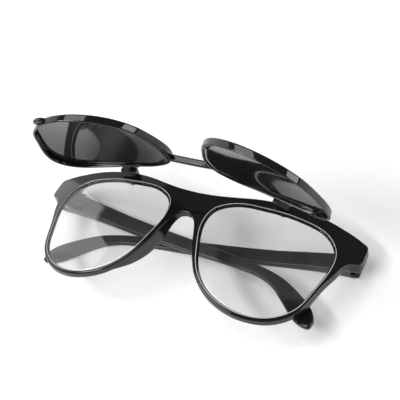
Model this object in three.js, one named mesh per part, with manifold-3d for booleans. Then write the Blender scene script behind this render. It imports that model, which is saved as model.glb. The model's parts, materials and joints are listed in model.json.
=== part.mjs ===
// Flip-up welding spectacles, lying on their folded temples with the front facing up.
// Frame: millimetres. +X is the wearer's left, +Y the top of the spectacles, +Z out of the front.
// The origin lies on the table, under the middle of the object's box.
import * as THREE from 'three';
import { mergeVertices } from 'three/addons/utils/BufferGeometryUtils.js';
import Module from 'manifold-3d';

const wasm = await Module();
wasm.setup();

// ---------------------------------------------------------------- driving dimensions
const LEFT = 1;
const RIGHT = -1;
const SIDES = [[LEFT, 'left'], [RIGHT, 'right']];
const GAP = 0.3; // clearance between neighbouring pieces

const FRONT_HEIGHT = 25.4; // crown of the front above the table
const BASE_RADIUS_X = 181; // wrap of the front, seen from above the brow
const BASE_RADIUS_Y = 221; // curve of the front from brow to cheek
const RIM_DEPTH = 3.3;
const RIM_WIDTH = 2.4;
const END_X = 72.6; // half of the front's width
const END_BACK_Z = 5.5; // back face of the end blocks

const LENS_THICKNESS = 1.5;
const LENS_INSET = 0.9; // from the rim's face to the lens's face
const LENS_BITE = 0.9; // how far a lens reaches into its rim
const CLEAR_BACK = -LENS_INSET - LENS_THICKNESS; // back of the clear lens, from the rim's face

const FLIP_ANGLE = 68.5; // the shade's rest position, up from closed
const FLIP_X = 35.6;
const FLIP_Y = 26.9;
const FLIP_Z = FRONT_HEIGHT + 2.9;
const SHADE_BACK = 3.8; // closed, from the front's face to the shade's back
const SHADE_DEPTH = 3.2;
const SHADE_OUTSET = 1; // shade rim beyond the clear opening
const SHADE_RIM_WIDTH = 2.2;
const SHADE_OPENING = SHADE_OUTSET - SHADE_RIM_WIDTH; // shade opening beyond the clear one
const FILTER_BACK = SHADE_BACK + 0.9; // back of the dark lens
const FILTER_FRONT = FILTER_BACK + LENS_THICKNESS;
const BRACKET_SCREW_RADIUS = 0.8;
const BRACKET_SCREW_Y = FLIP_Y - 0.6;

const HINGE_X = 69.3;
const HINGE_Y = 18.2;
const HINGE_Z = 3.3;
const TEMPLE_LENGTH = 133; // from the hinge axis to the tip
const TEMPLE_THICKNESS = 2.6;
const TAIL_THICKNESS = 2.2;
const TEMPLE_ROOT_THICKNESS = 4.7;
const TEMPLE_END = 1.9; // temple behind the hinge axis
const INNER_LIFT = 3.9; // the inner temple lies on the outer one, so it folds this much less
const HINGE_PLAY = 1.1; // droop of each temple away from the mean

const BARREL_RADIUS = 1.5;
const BARREL_HALF_STACK = 3.1;
const BARREL_MIDDLE = 0.9;
const SCREW_RADIUS = 0.55;
const PIN_RADIUS = 0.7;

const ORIGIN_Y = -0.3; // puts the origin under the middle of the box
const CUT_DOWN = -10; // prisms that are trimmed later run from here, below every front piece,
const CUT_UP = 50; // to here, above the closed shade
const SLAB_END_X = 76; // curved slabs reach past the front's ends
const SLAB_WIDTH_Y = 66; // and past its brow and cheeks
const SLAB_STEP_X = 7.6; // facet length along the curve
const SLAB_STEPS_Y = 8;
const DEG = Math.PI / 180;

// ---------------------------------------------------------------- materials
function material(color, roughness, metalness, extra = {}) {
  return new THREE.MeshStandardMaterial({ color, roughness, metalness, ...extra });
}
const BLACK = () => material(0x0b0b0c, 0.16, 0);
const CLEAR = () => material(0xf2f4f5, 0.05, 0, { transparent: true, opacity: 0.25 });
const DARK_GLASS = () => material(0x101413, 0.06, 0, { transparent: true, opacity: 0.92 });
const STEEL = () => material(0x9a9a98, 0.3, 1);
const NYLON = () => material(0x2a2a2a, 0.5, 0);

// ---------------------------------------------------------------- solids
function solid(geometry) {
  geometry.deleteAttribute('normal');
  geometry.deleteAttribute('uv');
  const merged = mergeVertices(geometry);
  return new wasm.Manifold(new wasm.Mesh({
    numProp: 3,
    vertProperties: new Float32Array(merged.attributes.position.array),
    triVerts: new Uint32Array(merged.index.array),
  }));
}

function geometryOf(body) {
  const mesh = body.getMesh();
  const geometry = new THREE.BufferGeometry();
  geometry.setAttribute('position', new THREE.BufferAttribute(new Float32Array(mesh.vertProperties), 3));
  geometry.setIndex(new THREE.BufferAttribute(new Uint32Array(mesh.triVerts), 1));
  geometry.computeVertexNormals();
  return geometry;
}

function unite(bodies) {
  return bodies.reduce((sum, body) => sum.add(body));
}

// A straight prism through the height range z0..z1, with optional holes.
function prism(points, z0, z1, holes = []) {
  const shape = new THREE.Shape(points);
  shape.holes = holes.map((hole) => new THREE.Path(hole));
  const geometry = new THREE.ExtrudeGeometry(shape, { depth: z1 - z0, bevelEnabled: false });
  return solid(geometry.translate(0, 0, z0));
}

// The same, drawn in the X-Z plane and standing across y0..y1.
function prismAlongY(points, y0, y1) {
  const shape = new THREE.Shape(points.map((p) => new THREE.Vector2(p.x, -p.y)));
  const geometry = new THREE.ExtrudeGeometry(shape, { depth: y1 - y0, bevelEnabled: false });
  return solid(geometry.rotateX(-Math.PI / 2).translate(0, y0, 0));
}

// The same, drawn in the Y-Z plane and standing across x0..x1.
function prismAlongX(points, x0, x1) {
  const shape = new THREE.Shape(points);
  const geometry = new THREE.ExtrudeGeometry(shape, { depth: x1 - x0, bevelEnabled: false });
  return solid(geometry.rotateX(Math.PI / 2).rotateZ(Math.PI / 2).translate(x0, 0, 0));
}

function block(x0, x1, y0, y1, z0, z1) {
  const geometry = new THREE.BoxGeometry(Math.abs(x1 - x0), y1 - y0, z1 - z0);
  return solid(geometry.translate((x0 + x1) / 2, (y0 + y1) / 2, (z0 + z1) / 2));
}

function rodAlongX(radius, x0, x1, y, z) {
  const geometry = new THREE.CylinderGeometry(radius, radius, x1 - x0, 20).rotateZ(Math.PI / 2);
  return solid(geometry.translate((x0 + x1) / 2, y, z));
}

function rodAlongY(radius, y0, y1, x, z) {
  const geometry = new THREE.CylinderGeometry(radius, radius, y1 - y0, 20);
  return solid(geometry.translate(x, (y0 + y1) / 2, z));
}

function rodAlongZ(radius, z0, z1, x, y) {
  const geometry = new THREE.CylinderGeometry(radius, radius, z1 - z0, 20).rotateX(Math.PI / 2);
  return solid(geometry.translate(x, y, (z0 + z1) / 2));
}

// ---------------------------------------------------------------- the front's curved face
function faceZ(x, y) {
  return FRONT_HEIGHT - (x * x) / (2 * BASE_RADIUS_X) - (y * y) / (2 * BASE_RADIUS_Y);
}

// A curved slab that follows the front's face, from `back` to `front` above it.
function curvedSlab(back, front, x0, x1) {
  const columns = Math.round((x1 - x0) / SLAB_STEP_X);
  const geometry = new THREE.BoxGeometry(x1 - x0, SLAB_WIDTH_Y, 2, columns, SLAB_STEPS_Y, 1)
    .translate((x0 + x1) / 2, 0, 0);
  const position = geometry.attributes.position;
  for (let i = 0; i < position.count; i += 1) {
    const offset = position.getZ(i) > 0 ? front : back;
    position.setZ(i, faceZ(position.getX(i), position.getY(i)) + offset);
  }
  return solid(geometry);
}

function fullSlab(back, front) {
  return curvedSlab(back, front, -SLAB_END_X, SLAB_END_X);
}

function slabOver(side, back, front) {
  return side === LEFT ? curvedSlab(back, front, 0, SLAB_END_X) : curvedSlab(back, front, -SLAB_END_X, 0);
}

// A flat outline cut through the curved slab between `back` and `front`.
function curvedPlate(outline, side, back, front) {
  return prism(outline, CUT_DOWN, CUT_UP).intersect(slabOver(side, back, front));
}

// ---------------------------------------------------------------- outlines
function vectors(pairs) {
  return pairs.map(([x, y]) => new THREE.Vector2(x, y));
}

function closedCurve(pairs, count) {
  const points = pairs.map(([x, y]) => new THREE.Vector3(x, y, 0));
  const curve = new THREE.CatmullRomCurve3(points, true, 'centripetal');
  return curve.getSpacedPoints(count).slice(0, count).map((p) => new THREE.Vector2(p.x, p.y));
}

function openCurve(pairs, count) {
  return new THREE.SplineCurve(vectors(pairs)).getSpacedPoints(count);
}

// The clear opening of the left lens: broad brow, flat outer side, round cheek.
const OPENING = closedCurve([
  [62, 7], [61, 14.8], [55.2, 20.6], [43, 22.6], [30, 22], [18.5, 20.2], [11, 15], [9.3, 7],
  [12.2, -5], [16.5, -15], [24.5, -22.6], [36, -26], [47.5, -23.8], [55.6, -16.5], [59.4, -5.5],
], 44);

// An outline moved outward by `distance` along its own normals.
function outset(points, distance) {
  const count = points.length;
  return points.map((point, i) => {
    const before = points[(i + count - 1) % count];
    const after = points[(i + 1) % count];
    const tangent = after.clone().sub(before).normalize();
    return new THREE.Vector2(point.x + tangent.y * distance, point.y - tangent.x * distance);
  });
}

function mirrored(points, side) {
  return points.map((p) => new THREE.Vector2(p.x * side, p.y));
}

// The clear opening moved outward: its points run anticlockwise, so outward is to their right.
function openingOutset(distance, side) {
  return mirrored(outset(OPENING, distance), side);
}

// Half of the brow, bridge and end piece, from the bridge's top round to the nose arch.
const BROW_TOP = [
  [0, 22], [8, 22.6], [16, 24.2], [25, 26.6], [34, 28.2], [44, 28.8], [54, 28.2], [63, 26.4],
];
const END_TOP = [[72.2, 23.4], [END_X, 22.4]];
const END_BOTTOM = [[END_X, 14.2], [71.8, 13]];
const END_UNDER = [[68.8, 12], [66.6, 8.8], [65.1, 4], [63, -2]];
const BEHIND_OPENING = [[50, 0], [30, -4]]; // inside the lens opening, which is cut away later
const NOSE_ARCH = [[12, -11], [9, -5], [7, 1], [4.6, 6.4], [0, 10.2]];

function browHalf() {
  return [
    ...openCurve([...BROW_TOP, END_TOP[0]], 26),
    ...vectors([END_TOP[1], END_BOTTOM[0]]),
    ...openCurve([END_BOTTOM[1], ...END_UNDER], 10),
    ...vectors(BEHIND_OPENING),
    ...openCurve(NOSE_ARCH, 14),
  ];
}

// ---------------------------------------------------------------- the front
// The moulded nose rest: the nose side of a rim, carried back behind the lens.
const REST_MIDDLE_Y = -6.5;
const REST_HALF_SPAN = 15.5;
const REST_REACH = 5;
const REST_OUTER = [
  [0, 10.2], [4.4, 7.2], [7.2, 1], [9.4, -5], [12.4, -11], [16.8, -17.6], [22, -22.6],
];
const REST_INNER = [
  [0, 12.4], [6.2, 9.2], [9.2, 1.6], [11.4, -5], [14.4, -12], [18.4, -17.6], [23.6, -22],
];
const ROOT_SINK = 1; // walls and blocks behind the front start this far inside it

// An outline behind the front, joined to it in front and ending at the height backZ(x, y).
function behindFront(outline, backZ) {
  const shape = new THREE.Shape(outline);
  const geometry = new THREE.ExtrudeGeometry(shape, { depth: 1, bevelEnabled: false });
  const position = geometry.attributes.position;
  for (let i = 0; i < position.count; i += 1) {
    const x = position.getX(i);
    const y = position.getY(i);
    const isFrontEnd = position.getZ(i) > 0.5;
    position.setZ(i, isFrontEnd ? faceZ(x, y) - ROOT_SINK : backZ(x, y));
  }
  return solid(geometry);
}

function noseWall(side) {
  const outer = openCurve(REST_OUTER, 18);
  const inner = openCurve(REST_INNER, 18);
  return behindFront(mirrored([...outer, ...inner.reverse()], side), (x, y) => {
    const phase = Math.min(1, Math.abs(y - REST_MIDDLE_Y) / REST_HALF_SPAN);
    return faceZ(x, y) - RIM_DEPTH - REST_REACH * Math.cos(phase * (Math.PI / 2));
  });
}

// The end piece, carried back to the temple hinge.
const END_BLOCK_INNER = [[61.6, 13.4], [64, 12.4], [68.8, 12]];

function endBlock(side) {
  const outer = [END_BOTTOM[1], END_BOTTOM[0], END_TOP[1], END_TOP[0]];
  const outline = vectors([...END_BLOCK_INNER, ...outer, [61.6, 24.6]]);
  return behindFront(mirrored(outline, side), () => END_BACK_Z);
}

const POCKET_INWARD = 9.3; // from the hinge axis
const POCKET_OUTWARD = 1.2;

function hingePocket(side) {
  const stack = BARREL_HALF_STACK + GAP;
  const ends = [side * (HINGE_X - POCKET_INWARD), side * (HINGE_X + POCKET_OUTWARD)];
  const y = HINGE_Y - GAP;
  return block(Math.min(...ends), Math.max(...ends), y - stack, y + stack, END_BACK_Z - 1, END_BACK_Z + 1);
}

function screwHole(side) {
  return rodAlongZ(BRACKET_SCREW_RADIUS + GAP, 5, 30, side * FLIP_X, BRACKET_SCREW_Y);
}

function frontFrame() {
  const left = browHalf();
  const right = mirrored(left, RIGHT).reverse();
  const brow = prism([...left, ...right.slice(1, -1)], CUT_DOWN, CUT_UP);
  const rims = SIDES.map(([side]) => prism(openingOutset(RIM_WIDTH, side), CUT_DOWN, CUT_UP));
  const openings = SIDES.map(([side]) => prism(openingOutset(0, side), CUT_DOWN, CUT_UP));
  const face = unite([brow, ...rims]).intersect(fullSlab(-RIM_DEPTH, 0));
  const behind = SIDES.flatMap(([side]) => [noseWall(side), endBlock(side)]);
  const body = unite([face, ...behind]).subtract(unite(openings));
  const cuts = SIDES.flatMap(([side]) => [
    curvedPlate(openingOutset(LENS_BITE + GAP, side), side, CLEAR_BACK - GAP, -LENS_INSET + GAP),
    hingePocket(side),
    screwHole(side),
  ]);
  return body.subtract(unite(cuts));
}

function clearLens(side) {
  return curvedPlate(openingOutset(LENS_BITE, side), side, CLEAR_BACK, -LENS_INSET);
}

// ---------------------------------------------------------------- the flip hinge
// Along X from the middle of the ear outward: ear, washer, lug, with a gap between each.
const EAR_HALF = 1.5;
const WASHER = 0.5;
const LUG = 2.2;
const LUG_START = EAR_HALF + GAP + WASHER + GAP;
const EAR_RADIUS = 2.1;
const LUG_RADIUS = 2;
const WASHER_RADIUS = 1.9;
const BRACKET_BASE_TOP = FRONT_HEIGHT - 1;
const BRACKET_HALF = 3.6; // half of the base, along the brow
const BRACKET_Y = [24.5, 28.2]; // the base, across the brow
const SCREW_HOLE_TOP = BRACKET_BASE_TOP - 0.4;
const BRACKET_HEAD_RADIUS = 1.6;
const BRACKET_HEAD_HEIGHT = 0.9;
const SLOT_HALF = 0.2; // a screwdriver slot, half of its width
const SLOT_DEPTH = 0.4;
const PIN_HEAD_RADIUS = 1.4;
const PIN_HEAD = 0.6;

// The bore that a pin or a screw turns in, longer than anything it cuts.
function pinBore(x) {
  return rodAlongX(PIN_RADIUS + GAP, x - 5, x + 5, FLIP_Y, FLIP_Z);
}

function flipBracket(side) {
  const x = side * FLIP_X;
  const base = block(x - BRACKET_HALF, x + BRACKET_HALF, ...BRACKET_Y, 15, BRACKET_BASE_TOP);
  const webOutline = vectors([
    [24.7, 18], [28.2, 18], [29, FLIP_Z - 0.6], [29, FLIP_Z], [24.8, FLIP_Z], [24.6, BRACKET_BASE_TOP],
  ]);
  const web = prismAlongX(webOutline, x - EAR_HALF, x + EAR_HALF);
  const ear = rodAlongX(EAR_RADIUS, x - EAR_HALF, x + EAR_HALF, FLIP_Y, FLIP_Z);
  return unite([base, web, ear])
    .subtract(slabOver(side, -20, GAP))
    .subtract(pinBore(x))
    .subtract(rodAlongZ(BRACKET_SCREW_RADIUS + GAP, 10, SCREW_HOLE_TOP, x, BRACKET_SCREW_Y));
}

function bracketScrew(side) {
  const x = side * FLIP_X;
  const y = BRACKET_SCREW_Y;
  const back = faceZ(FLIP_X + 2, y) - RIM_DEPTH - GAP;
  const shank = rodAlongZ(BRACKET_SCREW_RADIUS, back - SLOT_DEPTH, SCREW_HOLE_TOP - GAP, x, y);
  const head = rodAlongZ(BRACKET_HEAD_RADIUS, back - BRACKET_HEAD_HEIGHT, back, x, y);
  const slotFloor = back - BRACKET_HEAD_HEIGHT + SLOT_DEPTH;
  const slot = block(x - 2, x + 2, y - SLOT_HALF, y + SLOT_HALF, back - 2, slotFloor);
  return shank.add(head).subtract(slot);
}

function flipPin(side) {
  const x = side * FLIP_X;
  const reach = LUG_START + LUG + GAP;
  const shank = rodAlongX(PIN_RADIUS, x - reach - 0.2, x + reach + 0.2, FLIP_Y, FLIP_Z);
  const heads = [-1, 1].map((end) => {
    const ends = [x + end * reach, x + end * (reach + PIN_HEAD)];
    return rodAlongX(PIN_HEAD_RADIUS, Math.min(...ends), Math.max(...ends), FLIP_Y, FLIP_Z);
  });
  return unite([shank, ...heads]);
}

function frictionWasher(side, end) {
  const from = side * FLIP_X + end * (EAR_HALF + GAP);
  const to = from + end * WASHER;
  return rodAlongX(WASHER_RADIUS, Math.min(from, to), Math.max(from, to), FLIP_Y, FLIP_Z)
    .subtract(pinBore(from));
}

// ---------------------------------------------------------------- the shade, drawn closed
const LUG_ROOT_Y = 22.6; // where a lug's arm leaves the rim
const TAB_CENTRE = [-50.5, -23];
const TAB_RADIUS = 2.9;
const BAR_TOP = [[-12, 14.4], [-6, 15.4], [0, 15.8], [6, 15.4], [12, 14.4]];
const BAR_HEIGHT = 2;
const BAR_INSET = 0.2; // from the shade's two faces

function shadeLug(side, end) {
  const x = side * FLIP_X;
  const ends = [x + end * LUG_START, x + end * (LUG_START + LUG)];
  const x0 = Math.min(...ends);
  const x1 = Math.max(...ends);
  const armOutside = vectors([
    [LUG_ROOT_Y, FLIP_Z - 2.4], [FLIP_Y, FLIP_Z - LUG_RADIUS],
    [FLIP_Y, FLIP_Z + LUG_RADIUS], [LUG_ROOT_Y, FLIP_Z + 0.6],
  ]);
  return prismAlongX(armOutside, x0, x1)
    .add(rodAlongX(LUG_RADIUS, x0, x1, FLIP_Y, FLIP_Z))
    .subtract(pinBore(x0));
}

// The small tab that a fingertip lifts, on the wearer's right.
function fingerTab() {
  const circle = new THREE.EllipseCurve(...TAB_CENTRE, TAB_RADIUS, TAB_RADIUS, 0, 2 * Math.PI);
  const outline = circle.getPoints(20).slice(0, 20);
  return curvedPlate(outline, RIGHT, SHADE_BACK + 1.2, SHADE_BACK + SHADE_DEPTH);
}

// An arched strap that joins the two rims over the nose.
function shadeBar() {
  const top = openCurve(BAR_TOP, 10);
  const bottom = top.map((p) => new THREE.Vector2(p.x, p.y - BAR_HEIGHT)).reverse();
  return prism([...top, ...bottom], CUT_DOWN, CUT_UP)
    .intersect(fullSlab(SHADE_BACK + BAR_INSET, SHADE_BACK + SHADE_DEPTH - BAR_INSET));
}

function shadeFrame() {
  const outlines = SIDES.map(([side]) => prism(openingOutset(SHADE_OUTSET, side), CUT_DOWN, CUT_UP));
  const rims = unite(outlines).intersect(fullSlab(SHADE_BACK, SHADE_BACK + SHADE_DEPTH));
  const lugs = SIDES.flatMap(([side]) => [shadeLug(side, -1), shadeLug(side, 1)]);
  const grooveEdge = SHADE_OPENING + LENS_BITE + GAP;
  const cuts = SIDES.flatMap(([side]) => [
    prism(openingOutset(SHADE_OPENING, side), CUT_DOWN, CUT_UP),
    curvedPlate(openingOutset(grooveEdge, side), side, FILTER_BACK - GAP, FILTER_FRONT + GAP),
  ]);
  return unite([rims, fingerTab(), shadeBar(), ...lugs]).subtract(unite(cuts));
}

function darkLens(side) {
  return curvedPlate(openingOutset(SHADE_OPENING + LENS_BITE, side), side, FILTER_BACK, FILTER_FRONT);
}

// ---------------------------------------------------------------- temples
// A temple is drawn about its hinge axis: d runs from the axis to the tip, y across, z from the hinge.
const ARM_CENTRE = [
  [-TEMPLE_END, 0], [15, -2.1], [47, -7.3], [70, -10.4], [92, -13.2], [105, -15.7],
  [113, -19], [120.5, -24.4], [127, -29.9], [TEMPLE_LENGTH, -35.4],
];
const ARM_HALF = [
  [-TEMPLE_END, 4.7], [15, 3.95], [47, 3.5], [70, 3.1], [92, 2.5], [105, 2.4],
  [113, 3], [120.5, 3.9], [127, 4.4], [TEMPLE_LENGTH, 4.2],
];
const ARM_STEPS = 34;
const TIP_ROUNDING = 6; // length over which the tip narrows to nothing

function armOutline(side) {
  const centre = openCurve(ARM_CENTRE, ARM_STEPS);
  const half = openCurve(ARM_HALF, ARM_STEPS);
  const upper = [];
  const lower = [];
  centre.forEach((c, i) => {
    const next = centre[Math.min(i + 1, ARM_STEPS)];
    const last = centre[Math.max(i - 1, 0)];
    const normal = new THREE.Vector2(last.y - next.y, next.x - last.x).normalize();
    const toTip = Math.max(0, (c.x - TEMPLE_LENGTH) / TIP_ROUNDING + 1);
    const width = half[i].y * Math.sqrt(Math.max(0.02, 1 - toTip * toTip));
    const lean = i === 0 ? new THREE.Vector2(0, 1) : normal;
    upper.push(new THREE.Vector2(c.x + lean.x * width, c.y + lean.y * width));
    lower.push(new THREE.Vector2(c.x - lean.x * width, c.y - lean.y * width));
  });
  return [...upper, ...lower.reverse()].map((p) => new THREE.Vector2(-side * p.x, p.y));
}

function armProfile(side) {
  const face = -HINGE_Z;
  const root = TEMPLE_ROOT_THICKNESS - HINGE_Z;
  const pastTip = TEMPLE_LENGTH + 2;
  const inner = [
    [-1.3, root], [3, root], [9, root - 0.4], [22, face + 3.5], [34, face + TEMPLE_THICKNESS],
    [74, face + TEMPLE_THICKNESS], [94, face + TAIL_THICKNESS], [pastTip, face + TAIL_THICKNESS],
  ];
  const roundedEnd = [
    [pastTip, face], [0.6, face], [-0.8, face + 0.4], [-1.6, face + 1.3],
    [-TEMPLE_END, face + 2.2], [-TEMPLE_END, 0], [-1.75, 0.75],
  ];
  return vectors([...inner, ...roundedEnd]).map((p) => new THREE.Vector2(-side * p.x, p.y));
}

// The stretch from d0 to d1 along a temple, as x from low to high.
function span(side, d0, d1) {
  return [-side * d0, -side * d1].sort((a, b) => a - b);
}

const LEAF_END = 10; // far end of the temple's leaf, from the axis
const LEAF_START = 2.1;
const LEAF_THICKNESS = 0.7;
const LEAF_BACK = 0.2; // the leaf's outer face, from the axis
const NOTCH_LOW = -3.7;
const NOTCH_HIGH = 4;
const LEAF_POCKET_TOP = 3.1;

function temple(side) {
  const arm = prism(armOutline(side), -10, 10).intersect(prismAlongY(armProfile(side), -60, 20));
  const clear = BARREL_RADIUS + GAP;
  const notch = block(...span(side, clear, -10), NOTCH_LOW - GAP, NOTCH_HIGH, -clear, 10);
  const leafSpan = span(side, LEAF_START - GAP, LEAF_END + GAP);
  const pocket = block(...leafSpan, NOTCH_LOW, LEAF_POCKET_TOP, LEAF_BACK - GAP, 10);
  return arm.subtract(notch).subtract(pocket);
}

// Leaves and screw, about the middle of the barrels, which sits GAP below the temple's middle.
const RIVET_HOLE_RADIUS = 0.8;
const FRONT_LEAF_HOLES = [3.6, 6.8]; // from the axis
const TEMPLE_LEAF_HOLES = [4.4, 7.8];
const KNUCKLE_HALF = 0.9; // half of the neck that carries a knuckle
const FRONT_LEAF_END = 9;
const HINGE_HEAD_RADIUS = 1.1;
const HINGE_HEAD = 0.6;

function barrel(y0, y1) {
  return rodAlongY(BARREL_RADIUS, y0, y1, 0, 0);
}

function screwBore() {
  return rodAlongY(SCREW_RADIUS + GAP, -5, 5, 0, 0);
}

function rivetHoles(side, distances) {
  return unite(distances.map((d) => rodAlongZ(RIVET_HOLE_RADIUS, -1, 6, -side * d, 0)));
}

function frontLeaf(side) {
  const lift = END_BACK_Z - HINGE_Z;
  const plateSpan = span(side, -KNUCKLE_HALF, FRONT_LEAF_END);
  const back = lift - 0.2;
  const plate = block(...plateSpan, -BARREL_HALF_STACK, BARREL_HALF_STACK, back, back + 0.9);
  const ends = [[-BARREL_HALF_STACK, -BARREL_MIDDLE - GAP], [BARREL_MIDDLE + GAP, BARREL_HALF_STACK]];
  const knuckles = ends.flatMap(([y0, y1]) => [
    barrel(y0, y1),
    block(-KNUCKLE_HALF, KNUCKLE_HALF, y0, y1, 0, lift),
  ]);
  return unite([plate, ...knuckles]).subtract(screwBore()).subtract(rivetHoles(side, FRONT_LEAF_HOLES));
}

function templeLeaf(side) {
  const top = LEAF_BACK + LEAF_THICKNESS;
  const plateSpan = span(side, LEAF_START, LEAF_END);
  const plate = block(...plateSpan, -BARREL_HALF_STACK, BARREL_HALF_STACK, LEAF_BACK, top);
  const neck = block(...span(side, 0, LEAF_START + 1), -BARREL_MIDDLE, BARREL_MIDDLE, LEAF_BACK, top);
  return unite([plate, neck, barrel(-BARREL_MIDDLE, BARREL_MIDDLE)])
    .subtract(screwBore())
    .subtract(rivetHoles(side, TEMPLE_LEAF_HOLES));
}

function hingeScrew() {
  const seat = BARREL_HALF_STACK + GAP;
  const shank = rodAlongY(SCREW_RADIUS, -BARREL_HALF_STACK - 0.2, seat + 0.1, 0, 0);
  const head = rodAlongY(HINGE_HEAD_RADIUS, seat, seat + HINGE_HEAD, 0, 0);
  const slot = block(-2, 2, seat + HINGE_HEAD / 2, seat + 1, -SLOT_HALF, SLOT_HALF);
  return unite([shank, head]).subtract(slot);
}

// ---------------------------------------------------------------- assembly
const spectacles = new THREE.Group();
spectacles.position.y = ORIGIN_Y;

function piece(parent, name, body, finish) {
  const mesh = new THREE.Mesh(geometryOf(body), finish());
  mesh.name = name;
  parent.add(mesh);
}

piece(spectacles, 'front_frame', frontFrame(), BLACK);
for (const [side, word] of SIDES) {
  piece(spectacles, `clear_lens_${word}`, clearLens(side), CLEAR);
  piece(spectacles, `flip_bracket_${word}`, flipBracket(side), BLACK);
  piece(spectacles, `flip_bracket_screw_${word}`, bracketScrew(side), STEEL);
  piece(spectacles, `flip_pin_${word}`, flipPin(side), STEEL);
  piece(spectacles, `friction_washer_${word}_outer`, frictionWasher(side, side), NYLON);
  piece(spectacles, `friction_washer_${word}_inner`, frictionWasher(side, -side), NYLON);
}

// The shade turns about the flip axis, from closed to its rest position.
const shadeAxis = new THREE.Group();
shadeAxis.position.set(0, FLIP_Y, FLIP_Z);
shadeAxis.rotation.x = -FLIP_ANGLE * DEG;
const shade = new THREE.Group();
shade.position.set(0, -FLIP_Y, -FLIP_Z);
shadeAxis.add(shade);
spectacles.add(shadeAxis);
piece(shade, 'shade_frame', shadeFrame(), BLACK);
for (const [side, word] of SIDES) {
  piece(shade, `dark_lens_${word}`, darkLens(side), DARK_GLASS);
}

for (const [side, word] of SIDES) {
  const lift = side === RIGHT ? INNER_LIFT : 0;
  const swing = new THREE.Group();
  swing.position.set(side * HINGE_X, HINGE_Y, HINGE_Z);
  swing.rotation.y = -lift * DEG;
  spectacles.add(swing);
  const arm = new THREE.Group();
  arm.rotation.z = -HINGE_PLAY * DEG;
  swing.add(arm);
  piece(arm, `temple_${word}`, temple(side), BLACK);
  const moving = new THREE.Group();
  moving.position.y = -GAP;
  arm.add(moving);
  piece(moving, `temple_leaf_${word}`, templeLeaf(side), STEEL);
  const fixed = new THREE.Group();
  fixed.position.set(side * HINGE_X, HINGE_Y - GAP, HINGE_Z);
  spectacles.add(fixed);
  piece(fixed, `front_leaf_${word}`, frontLeaf(side), STEEL);
  piece(fixed, `hinge_screw_${word}`, hingeScrew(), STEEL);
}

export default spectacles;
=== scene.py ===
"""Flip-up welding spectacles: the looks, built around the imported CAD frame.

Shapes are worked out in millimetres, in the CAD's own frame: +X is the wearer's left, +Y is the brow, and
+Z is out of the front of the lenses.
"""
import json
import math

import bmesh
import bpy
import numpy as np
from mathutils import Matrix, Vector

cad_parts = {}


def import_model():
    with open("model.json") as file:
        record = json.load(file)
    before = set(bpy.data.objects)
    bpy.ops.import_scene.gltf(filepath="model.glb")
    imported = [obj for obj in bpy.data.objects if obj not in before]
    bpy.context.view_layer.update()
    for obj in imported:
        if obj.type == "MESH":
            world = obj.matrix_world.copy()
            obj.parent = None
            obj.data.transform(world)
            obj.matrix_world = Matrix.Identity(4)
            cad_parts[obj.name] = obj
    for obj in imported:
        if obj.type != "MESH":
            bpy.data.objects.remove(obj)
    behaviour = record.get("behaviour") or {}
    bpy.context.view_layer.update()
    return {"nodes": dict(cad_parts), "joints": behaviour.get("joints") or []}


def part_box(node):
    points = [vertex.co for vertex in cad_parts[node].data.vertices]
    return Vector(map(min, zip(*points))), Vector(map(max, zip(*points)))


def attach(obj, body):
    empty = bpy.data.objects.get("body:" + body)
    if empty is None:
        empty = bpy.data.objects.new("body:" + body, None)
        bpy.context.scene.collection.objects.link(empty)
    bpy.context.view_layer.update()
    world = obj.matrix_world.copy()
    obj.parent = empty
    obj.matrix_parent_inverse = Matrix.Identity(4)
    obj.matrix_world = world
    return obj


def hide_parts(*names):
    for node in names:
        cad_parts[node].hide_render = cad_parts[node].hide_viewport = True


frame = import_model()

MM = 0.001
LEFT, RIGHT = 1, -1
SIDES = ((LEFT, "left"), (RIGHT, "right"))
JOINTS = {joint["name"]: joint for joint in frame["joints"]}

# ---------------------------------------------------------------- dimensions, as the frame has them
CROWN = 25.4  # crown of the front above the table
BASE_RADIUS_X = 181.0
BASE_RADIUS_Y = 221.0
RIM_DEPTH = 3.3
RIM_WIDTH = 2.4
END_BACK_Z = 5.5
LENS_BITE = 0.9  # how far a lens reaches into its groove
GAP = 0.3

FLIP_PIVOT = np.array(JOINTS["shade_flip"]["pos_m"]) / MM
FLIP_ANGLE = -math.radians(JOINTS["shade_flip"]["range_deg"][0])  # from closed to the rest pose
FLIP_Y = 26.9  # the flip axis, above the optical centre line
SHIFT_Y = FLIP_PIVOT[1] - FLIP_Y  # shapes are drawn about the optical centre line
FLIP_X = (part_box("flip_bracket_left")[0].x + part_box("flip_bracket_left")[1].x) / 2 / MM
SHADE_BACK = 3.8
SHADE_FRONT = 7.0
SHADE_OUTSET = 1.0
SHADE_INSET = 1.2

HINGE_PLAY = math.radians(1.1)  # how far a folded arm leans, seen from the front
INNER_LIFT = math.radians(JOINTS["right_temple_fold"]["range_deg"][1] - 90)
TEMPLE_LENGTH = 133.0

# The clear opening of the left lens, anticlockwise from its outer side.
OPENING = [
    (62, 7), (61, 14.8), (55.2, 20.6), (43, 22.6), (30, 22), (18.5, 20.2), (11, 15), (9.3, 7),
    (12.2, -5), (16.5, -15), (24.5, -22.6), (36, -26), (47.5, -23.8), (55.6, -16.5), (59.4, -5.5),
]
NOSE_ARCH = [(0, 10.2), (2.5, 9.3), (4.9, 6.3), (7, 1), (9, -5), (11.6, -11), (14.6, -16.6)]
END_UNDER = [(62.9, -2), (65.1, 4), (66.6, 8.8), (68.8, 12), (71.8, 13)]
END_SIDE = [(72.6, 14.2), (72.6, 22.4)]
BROW_TOP = [
    (72.2, 23.4), (63, 26.4), (54, 28.2), (44, 28.8), (34, 28.2), (25, 26.6), (16, 24.2), (8, 22.6), (0, 22),
]

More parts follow.
